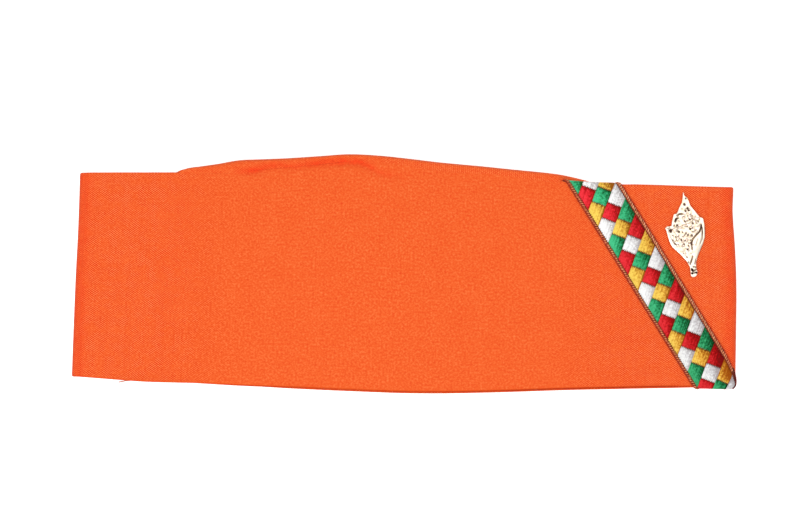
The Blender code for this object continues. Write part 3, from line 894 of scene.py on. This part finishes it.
def make_satin():
    """Every satin stitch as its own rounded thread, laid in the ribbon's cells."""
    names = sorted(THREADS)
    trial = np.linspace(0, 1, 60)[:, None]
    stations = spaced((0, 0.09, 3), (0.09, 0.91, 7), (0.91, 1, 3))[:, None]
    across = np.linspace(-1, 1, 6)
    crest = np.sqrt(np.clip(1 - (0.96 * across) ** 2, 0, 1))
    parts, values, indices = [], [], []
    for column, thread, q, name, low, high in satin_runs():
        tooth = TOOTH * (thread % 2)
        low = low + rng.uniform(0, 0.15) + tooth
        high = high - rng.uniform(-0.05, 0.1) - TOOTH + tooth + OVERLAP
        wander = rng.uniform(-0.03, 0.03, 2)
        if high - low < SHORTEST_THREAD:
            continue
        middle_t = FIRST_COLUMN + column * COLUMN_PITCH
        centre = strip_xy(middle_t, RIBBON_MIDDLE)
        s = low + (high - low) * trial
        kept = s[room_left(*(centre + s * CELL_ALONG + q * CELL_ACROSS).T) > 0.5]
        if len(kept) < 8:
            continue
        low, high = kept[0, 0], kept[-1, 0]
        s = low + (high - low) * stations
        bend = wander[0] + (wander[1] - wander[0]) * stations
        line = centre + s * CELL_ALONG + (q + bend) * CELL_ACROSS
        x, y = line[:, :1], line[:, 1:]
        over, under = past_edges(x, y)

        half = THREAD_PITCH * rng.uniform(0.5, 0.58)
        end = np.minimum(1, np.minimum(s - low, high - s) / 0.5)
        rise = np.sqrt(np.clip(1 - (1 - end) ** 2, 0, 1))
        dome = (1 - (2 * stations - 1) ** 2) * (1 - 0.9 * (2 * q / CELL_WIDTH) ** 2)
        dome *= ease(-np.maximum(over, under), -0.5, 3)
        puff = 0.1 + 0.8 * dome + rng.uniform(-0.015, 0.015)
        strip = line[:, None] + (across * half)[:, None] * CELL_ACROSS
        pull = CORNER_PULL * ease(-strip[..., 1], *CORNER_PULL_RAMP)
        strip[..., 0] -= pull * bell(strip[..., 0] - FLAT_TO, CORNER_PULL_WIDTH)
        lift = BASE_TOP - 0.03 + rise * (puff + 0.16 * crest)
        points = round_corner(strip_place(strip[..., 0], strip[..., 1], lift))
        faces = join_rows(*lift.shape)[:, ::-1]
        parts.append((points.reshape(-1, 3), faces))
        indices.append(np.full(len(faces), names.index(name)))

        w = (line - RIBBON_CORNER) @ RIBBON_ACROSS[:, None] - RIBBON_MIDDLE
        # Painted light and shade: each cell lighter at its lower end and left side, darker at its top
        # end, its right side and towards the ribbon's right edge
        tone = 0.45 * (stations - 0.5) - 0.6 * q / CELL_WIDTH - 0.026 * w
        # Painted shade where the ribbon bends down by the end fold, under the wall's top edge, on the
        # corner's white cell and along each column's sides, and painted light near the hem
        tone -= 0.5 * ease(x, 130, 139) * ease(y, -47, -44)
        tone = tone - 0.35 * bell(np.minimum(over, 0), 1.8) + 0.25 * bell(np.minimum(under, 0), 2.5)
        tone -= 0.5 * ease(x, 138.4, 140.2) * (name == "white")
        tone = tone - 0.75 * bell(CELL_WIDTH / 2 - q, 0.42) - 0.35 * bell(CELL_WIDTH / 2 + q, 0.3)
        # Painted shade at each thread's ends, more at its top end
        dark = np.minimum(bell(s - low, 0.26) + 0.4 * bell(high - s, 0.12), 1)
        # How far down the ribbon the cell lies: the colours are painted lighter near the top and deeper
        # near the hem
        down = min(max(middle_t / LAST_TONE_AT, 0), 1)
        place = stacked(s + 31 * column + 3.7 * thread, across * 0.5, rng.uniform())
        spot = np.pad(strip, ((0, 0), (0, 0), (0, 1)))
        values.append((place, spot, *(np.broadcast_to(v, lift.shape) for v in (down, dark, tone))))
    titles = ("thread_place", "cell_place", "down_ribbon", "thread_end", "cell_tone")
    return make_piece(
        "ribbon_satin", *gather(parts), [satin_material(name, *THREADS[name]) for name in names],
        {title: np.vstack(layer) for title, layer in zip(titles, zip(*values))},
        np.hstack(indices),
    )


def yarn_material(name, dark, pale):
    paint = Paint("border_" + name, 0.75, specular=0.06)
    along, around, _ = paint.axes("thread_place")
    fibre = paint.noise(paint.join(along * 2, around * 3), 1.8, 3, 0.6)
    spots = paint.noise(paint.join(along, around * 0.3), 1.5, 2)
    patches = paint.noise(paint.join(along, along), 0.4, 1) - 0.5
    level = fibre * 0.5 + spots * 0.6 + patches * 0.35
    return paint.finish(paint.blend(level.ramp(0.45, 0.64), dark, pale), level, 0.04, 0.5)


# The border's yarns: name, dark colour and pale colour
BORDER_YARNS = (
    ("beige", (0.42, 0.115, 0.045), (0.86, 0.44, 0.25)),
    ("brown", (0.07, 0.013, 0.005), (0.3, 0.065, 0.028)),
    ("dark", (0.3, 0.016, 0.006), (0.52, 0.05, 0.024)),
    ("russet", (0.4, 0.075, 0.022), (0.8, 0.32, 0.15)),
    ("maroon", (0.05, 0.007, 0.005), (0.15, 0.025, 0.02)),
)
BEIGE, BROWN, DARK_RED, RUSSET, MAROON = range(5)
# Where along the ribbon the twisted yarns take their second colour
LATE_FROM = 98
# Each side's twisted yarns, inner cord and lowest y, with each yarn's two colours
BORDER_SIDES = (
    (-1, (RUSSET, RUSSET), (BROWN, MAROON), (BROWN, BROWN), -60),
    (1, (BEIGE, RUSSET), (BROWN, MAROON), (RUSSET, RUSSET), -42.2),
)
ROPE_MIDDLE, ROPE_ASIDE = 12.71, 9.1
TWIST_PITCH = 1.1
# The maroon cord round the hem's right-hand corner: x, y, z
CORNER_CORD = (
    (141.2, -40.4, 8.1), (141.95, -42.4, 7.6), (142.45, -44.6, 7.3), (142.6, -46.4, 7.2),
    (142.45, -47.8, 7.3), (141.9, -48.8, 7.5), (141, -49.4, 7.5),
)


def make_ribbon_border():
    """Two twisted yarns along each side, between a dark red outer cord and a thin inner one."""
    t = np.arange(-16, 140, 0.16)
    parts, places, indices = [], [], []

    def lay(offset, w, lift, radius, colours, sides, lowest=-60):
        line = strip_xy(t, w)
        kept = np.flatnonzero((room_left(*line.T) > 0.45) & (line[:, 1] > lowest))
        chosen = slice(kept[0], kept[-1] + 1)
        lift = np.broadcast_to(lift, t.shape)[chosen]
        parts.append(tube(round_corner(strip_place(*line[chosen].T, lift)), radius, sides))
        place = stacked((t[chosen] + offset)[:, None], np.arange(sides), 0)
        places.append(place.reshape(-1, 3))
        first, late = colours
        indices.append(np.repeat(np.where(t[chosen][:-1] > LATE_FROM, late, first), sides))

    for side, first_yarn, second_yarn, inner_cord, lowest in BORDER_SIDES:
        middle = ROPE_MIDDLE + side * ROPE_ASIDE
        for ply, colours in ((0, first_yarn), (pi, second_yarn)):
            phase = 2 * pi * t / TWIST_PITCH * side + ply
            wobble = 0.07 * np.sin(t * 1.9 + ply) + 0.04 * np.sin(t * 4.7 + 2 * ply)
            w = middle + 0.19 * np.cos(phase) + wobble
            lay(ply, w, BASE_TOP + 0.2 + 0.12 * np.sin(phase), 0.26, colours, 7, lowest)
        w = middle + side * 0.62 + 0.03 * np.sin(t * 2.3)
        lay(5, w, BASE_TOP + 0.1, 0.18, (DARK_RED, DARK_RED), 6)
        w = middle - side * 0.5 + 0.03 * np.sin(t * 1.7)
        lay(9, w, BASE_TOP + 0.08, 0.15, inner_cord, 6, lowest)

    knots = np.arange(len(CORNER_CORD))
    way = np.linspace(0, knots[-1], 60)
    path = stacked(*(np.interp(way, knots, axis) for axis in zip(*CORNER_CORD)))
    for _ in range(6):
        path[1:-1] = (path[:-2] + 2 * path[1:-1] + path[2:]) / 4
    points, faces = tube(path, 0.32, 6)
    parts.append((points, faces))
    places.append(points * (1, 3, 1))
    indices.append(np.full(len(faces), MAROON))
    return make_piece(
        "ribbon_border", *gather(parts), [yarn_material(*yarn) for yarn in BORDER_YARNS],
        {"thread_place": np.vstack(places)}, np.hstack(indices),
    )


# The brooch, about its own centre. Each side is a run of y, x
BROOCH_CENTRE = (120.8, 16.7)
FACE_SHIFT = -0.4
BROOCH_LEFT = np.array((
    (18.24, -0.81), (16.8, -0.9), (14.15, -1.2), (11.3, -2.6), (9.7, -3.25), (9.05, -3.75),
    (8.85, -4.8), (5.9, -5.59), (3.9, -5.9), (3.62, -6.9), (3.52, -7.8), (2.95, -8.6), (1.75, -8.1),
    (0, -7.6), (-2.66, -6.9), (-5.28, -5.55), (-7.26, -3.25), (-9.24, -1.2), (-11.22, 0.6),
    (-13.5, 1.98), (-15.82, 2.33), (-17.62, 2.5), (-18.1, 3.3),
))
BROOCH_RIGHT = np.array((
    (18.24, -0.75), (16.78, -0.3), (15.96, 0.75), (14.8, 1.45), (12.5, 2.3), (11.4, 3.2), (10.3, 4.2),
    (9.4, 4.95), (8.52, 5.6), (7.6, 6.3), (7.38, 7.35), (6.8, 7.85), (4.91, 8.26), (1.94, 8.57),
    (-0.98, 8.5), (-3.65, 7.7), (-6.27, 6.6), (-8.25, 5.75), (-10.23, 5.05), (-12.21, 4.6),
    (-14.49, 4.8), (-16.12, 5.3), (-17.62, 4.7), (-18.1, 3.9),
))
# Pits in the cast face: x, y, radius, depth
BROOCH_PITS = (
    (0.35, 15.6, 0.3, 0.5), (-0.25, 13.1, 0.42, 0.7), (1.17, 11.5, 0.36, 0.6), (0.22, 10.3, 0.36, 0.6),
    (1.6, 10.5, 0.3, 0.5), (-0.16, 5.9, 0.32, 0.5), (2.03, 6.7, 0.32, 0.5), (3.36, 5, 0.36, 0.5),
    (-4.72, 4, 0.32, 0.5), (-3.47, 4.1, 0.3, 0.5), (-6.3, 1.8, 0.55, 0.8), (-2.66, 1.3, 0.36, 0.5),
    (-1.15, 1.1, 0.3, 0.4), (1.34, -0.04, 0.34, 0.5), (2.98, -0.3, 0.3, 0.5), (-4.03, -1, 0.32, 0.5),
    (-1.71, -2.1, 0.34, 0.5), (0.09, -2.4, 0.3, 0.4), (-0.46, -4, 0.34, 0.5), (1.47, -4.7, 0.3, 0.5),
    (1.17, -6.3, 0.32, 0.5), (0.78, -9.5, 0.3, 0.4), (1.47, -11.8, 0.3, 0.4), (3.1, -15.1, 0.42, 0.8),
    (3, -16.5, 0.32, 0.7), (4.9, -16.3, 0.26, 0.6), (4.3, -12.4, 0.26, 0.4),
    (-2.6, 6, 0.28, 0.35), (0.9, 3.6, 0.28, 0.35), (-1.2, 3.9, 0.25, 0.3), (2.2, 2.5, 0.28, 0.35),
    (-5.2, -0.4, 0.28, 0.35), (-2.9, -4.2, 0.28, 0.35), (1.2, 8.1, 0.28, 0.35), (-0.9, 7.6, 0.28, 0.35),
    (4.4, 1.9, 0.28, 0.35), (-3.1, -0.7, 0.26, 0.3), (0.3, 0.9, 0.24, 0.3), (2.4, -2.2, 0.26, 0.3),
)
# The long petal's ridge: x, y, height
PETAL = ((7.1, 2.4, 0.6), (6, -1.5, 1), (4.6, -6, 1), (4, -9.5, 0.4))
BEATEN_MARKS, FINE_CUTS = 260, 110
# Engraved lines: runs of x, y, depth
BROOCH_LINES = (
    ((-3.47, 8.18, 0.5), (-2.6, 8.9, 0.7), (-1.33, 9.05, 0.6)),
    ((-4.33, 5.6, 0.5), (-4.1, 6.7, 0.8), (-3.04, 7.3, 0.6)),
    ((-8, 3, 0.3), (-7.2, 2.6, 0.35), (-6.6, 3.1, 0.3)),
    ((3, 7.6, 0.25), (4.3, 6.4, 0.3), (5.2, 4.9, 0.25)),
    ((5.6, -1.6, 0.2), (4.6, -4.4, 0.25)),
    ((1.86, 9, 0.25), (3.9, 7.6, 0.3), (5.6, 5.8, 0.3)),
    ((-7.1, 1.3, 0.2), (-5.84, -1.7, 0.3), (-4.33, -3.9, 0.3), (-3, -5.2, 0.2)),
    ((7.02, 4.4, 0.8), (6.93, 3.3, 0.9), (6.25, 1.47, 0.7), (4.61, -0.17, 0.6), (3.24, -1.8, 0.6),
     (2.72, -3.73, 0.6), (2.98, -6.18, 0.4)),
    ((7.3, 3.2, 0.8), (7.49, 1.21, 0.7), (7.49, -1.24, 0.45), (6.6, -3.9, 0.2)),
    ((3.24, -9.19, 0.5), (2.7, -11, 0.7), (2.16, -12.5, 0.5)),
    ((4.6, -10.6, 0.5), (4.4, -11.7, 0.5)),
    ((2.7, -14.6, 0.5), (3.4, -15.6, 0.7), (4.7, -14.9, 0.5)),
    ((3, -16.5, 0.5), (4.9, -16.1, 0.6)),
    ((3.5, -13.7, 0.4), (4.6, -13.9, 0.5)),
)


def gold_material():
    paint = Paint("cast_gold", 0.24, 1)
    x, y, _ = paint.axes("metal_place")
    place = paint.join(x, y)
    warm = paint.noise(place, 0.9, 3).ramp(0.4, 0.62)
    colour = paint.blend(warm * 0.8, (0.76, 0.64, 0.56), (0.76, 0.6, 0.37))
    colour = paint.blend(paint.number("polished"), colour, (0.82, 0.72, 0.59))
    # Painted shade in the cast face's pits, cuts, engraved lines and hollows
    colour = paint.blend(paint.number("recess_shade").step("MINIMUM", 1), colour, (0.085, 0.033, 0.022))
    paint.set("Roughness", paint.noise(place, 1.3, 3) * 0.24 + 0.26)
    return paint.finish(colour, paint.noise(place, 1.6, 3), 0.05, 0.4)


def brooch_field(x, y, left, right):
    """The cast face's height, its painted shade in pits, cuts, lines and hollows, and how polished it
    is.
    """
    inward = np.minimum(x - left, right - x)
    width = right - left
    edge = ease(inward, 0, 0.32)
    rim = bell(inward - 0.65, 0.55) * ease(width, 1.5, 5)
    belly = 0.4 * np.minimum(1, width / 12) * 4 * (x - left) * (right - x) / width**2
    beaten = 0
    for _ in range(BEATEN_MARKS):
        cx, cy = rng.uniform(-7.5, 7), rng.uniform(-9, 12.5)
        size = rng.uniform(0.35, 0.75)
        beaten += rng.uniform(-0.2, 0.2) * bell(np.hypot(x - cx, y - cy), size)
    away, petal = near_line(x, y, PETAL)
    petal = petal * bell(away, 1.55)
    stem = ease(-y, 9, 11)
    smooth = np.clip(petal + rim * 0.9 + stem, 0, 1)
    rough = edge * (1 - smooth)
    height = 1 + 0.05 * rim + belly + 0.3 * petal * edge + beaten * rough
    # Painted shade in the beaten hollows, pits, cuts and lines
    recess_shade = np.clip(-beaten * 1.6 - 0.1, 0, 0.6) * rough
    for cx, cy, radius, depth in BROOCH_PITS:
        pit = np.exp(-((np.hypot(x - cx, y - cy) / (1.25 * radius)) ** 3))
        height -= depth * 0.55 * pit
        recess_shade += pit * (0.5 + depth * 0.85)
    for _ in range(FINE_CUTS):
        cx, cy, way = rng.uniform(-7.2, 6), rng.uniform(-8.5, 13), rng.uniform(0, pi)
        reach = rng.uniform(0.15, 0.6)
        run_x, run_y = reach * cos(way), reach * sin(way)
        ends = ((cx - run_x, cy - run_y, 1), (cx + run_x, cy + run_y, 1))
        cut = bell(near_line(x, y, ends)[0], 0.2) * rough
        height -= cut * 0.14
        recess_shade += cut * rng.uniform(0.25, 0.65)
    for line in BROOCH_LINES:
        away, depth = near_line(x, y, line)
        cut = depth * bell(away, 0.26)
        height -= cut * 0.8
        recess_shade += cut * 1.25
    recess_shade = np.clip(recess_shade, 0, 1)
    return height, recess_shade, smooth * (1 - recess_shade)


def make_brooch():
    rows = spaced((18.22, 9.5, 59), (9.5, 2, 75), (2, -18.08, 129))[:, None]
    left, right = (
        np.interp(-rows, -side[:, 0], side[:, 1]) for side in (BROOCH_LEFT, BROOCH_RIGHT)
    )
    x = left + (right - left) * np.linspace(0, 1, 97)
    y = np.broadcast_to(rows, x.shape)
    height, recess_shade, polished = brooch_field(x, y, left, right)
    face = stacked(x + FACE_SHIFT, y, height)
    post = np.linspace((0, 0, 0.5), (0, 0, -4.2), 9)
    points, faces = gather((slab(face, face * (1, 1, 0)), tube(post, 0.5, 16)))

    def surface(px, py):
        return Vector((px, py, float(arch_z(px, y_to_height(px, py)))))

    def with_post(values, on_post):
        return np.append(twice(values), np.full(len(points) - 2 * values.size, on_post))

    cx, cy = BROOCH_CENTRE
    reach = 6
    along = (surface(cx + reach, cy) - surface(cx - reach, cy)).normalized()
    outward = along.cross(surface(cx, cy + reach) - surface(cx, cy - reach)).normalized()
    turn = np.array((along, outward.cross(along), outward))
    origin = np.array(surface(cx, cy) + outward * GAP)
    piece = make_piece(
        "brooch_cast", points @ turn + origin, faces, [gold_material()],
        {"metal_place": points * (1, 1, 0), "recess_shade": with_post(recess_shade, 0),
         "polished": with_post(polished, 0.5)},
    )
    piece.data.set_sharp_from_angle(angle=radians(50))
    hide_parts("brooch")
    return piece


def make_loose_thread():
    """The thread end that hangs from the hem near the left end."""
    t = np.linspace(0, 1, 26)
    x = -118 - 5.3 * t
    y = -46 - 0.6 * t + 0.12 * np.sin(5 * t)
    z = 1.5 + 0.5 * np.sin(pi * t) - 1.1 * t**3
    parts = []
    for ply in (0, pi):
        turn = 26 * t + ply
        path = stacked(x, y + 0.08 * np.cos(turn), z + 0.08 * np.sin(turn))
        parts.append(tube(path, 0.15, 6))
    points, faces = gather(parts)
    paint = Paint("loose_thread", 0.8)
    u, v, w = paint.axes("thread_place")
    fibre = paint.noise(paint.join(u * 3, v * 8, w * 8), 1.5, 3)
    paint.set("Sheen Weight", 0.2)
    colour = paint.blend(fibre, (0.34, 0.05, 0.015), (0.6, 0.16, 0.06))
    material = paint.finish(colour, fibre, 0.02, 0.5)
    return make_piece("loose_thread", points, faces, [material], {"thread_place": points})


def metal_clutch():
    """A finish for the clutch inside the band."""
    paint = Paint("turned_metal", 0.34, 1)
    place = paint.add("TexCoord", {}, "Object")
    grain = paint.noise(place, 900, 3)
    scuffs = paint.noise(place, 260, 4, 0.7)
    paint.set("Roughness", grain * 0.2 + scuffs * 0.15 + 0.2)
    colour = paint.blend(scuffs.ramp(0.35, 0.7), (0.56, 0.54, 0.5), (0.78, 0.76, 0.72))
    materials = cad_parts["pin_clutch"].data.materials
    materials.clear()
    materials.append(paint.finish(colour, grain, 0.02, 0.3))


# Studio
CAMERA_HEIGHT = 1800
# The height at which the photograph's scale holds
SCALE_HEIGHT = 6
SENSOR_WIDTH = 36
FLOOR_REACH = 3000


def make_studio():
    scene = bpy.context.scene
    scene.view_settings.view_transform = "Standard"
    scene.view_settings.look = "None"
    world = bpy.data.worlds.new("studio")
    scene.world = world
    world.use_nodes = True
    tree = world.node_tree
    background = tree.nodes["Background"]
    background.inputs["Color"].default_value = (1, 1, 1, 1)
    sky = add_node(tree, "TexCoord", {}, "Generated")
    height = add_node(tree, "SeparateXYZ", {0: sky}, "Z").step("MAXIMUM", 0)
    set_input(tree, background.inputs["Strength"], height * height * 0.98 + 0.355)

    paper = Paint("white_paper", 0.9)
    grain = paper.noise(paper.add("TexCoord", {}, "Object"), 400, 3)
    paper.set("Base Color", paper.blend(grain, (0.9, 0.9, 0.9), (0.93, 0.93, 0.93)))
    paper.set("Emission Color", (1, 1, 1, 1))
    paper.set("Emission Strength", 0.5)
    corners = np.array(((-1, -1, 0), (1, -1, 0), (1, 1, 0), (-1, 1, 0))) * FLOOR_REACH
    floor = make_piece("floor", corners, np.array([(0, 1, 2, 3)]), [paper.material], {})

    def soft_light(name, place, size, power):
        light = bpy.data.lights.new(name, "AREA")
        light.shape = "DISK"
        light.size = size
        light.energy = power
        lamp = new_object(name, light)
        lamp.location = place
        lamp.rotation_euler = (-Vector(place)).to_track_quat("-Z", "Y").to_euler()

    soft_light("key", (-0.5, -0.4, 1.6), 0.8, 14)
    soft_light("fill", (0.7, 0.5, 1.4), 1, 4.8)

    width = IMAGE_SIZE[0] * PIXEL
    centre_x = (IMAGE_SIZE[0] / 2 - ORIGIN_PIXEL[0]) * PIXEL
    centre_y = (ORIGIN_PIXEL[1] - IMAGE_SIZE[1] / 2) * PIXEL
    camera = new_object("camera", bpy.data.cameras.new("camera"))
    camera.location = (centre_x * MM, centre_y * MM, CAMERA_HEIGHT * MM)
    camera.data.sensor_width = SENSOR_WIDTH
    camera.data.lens = SENSOR_WIDTH * (CAMERA_HEIGHT - SCALE_HEIGHT) / width
    scene.camera = camera


make_studio()
finishes = (
    (make_band(), "orange_cloth"),
    (make_crown(), "orange_cloth"),
    (make_ribbon_backing(), "embroidered_ribbon"),
    (make_satin(), "embroidered_ribbon"),
    (make_ribbon_border(), "embroidered_ribbon"),
    (make_brooch(), "gold_metal"),
    (make_loose_thread(), "orange_cloth"),
)
for piece, finish in finishes:
    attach(piece, "root")
metal_clutch()
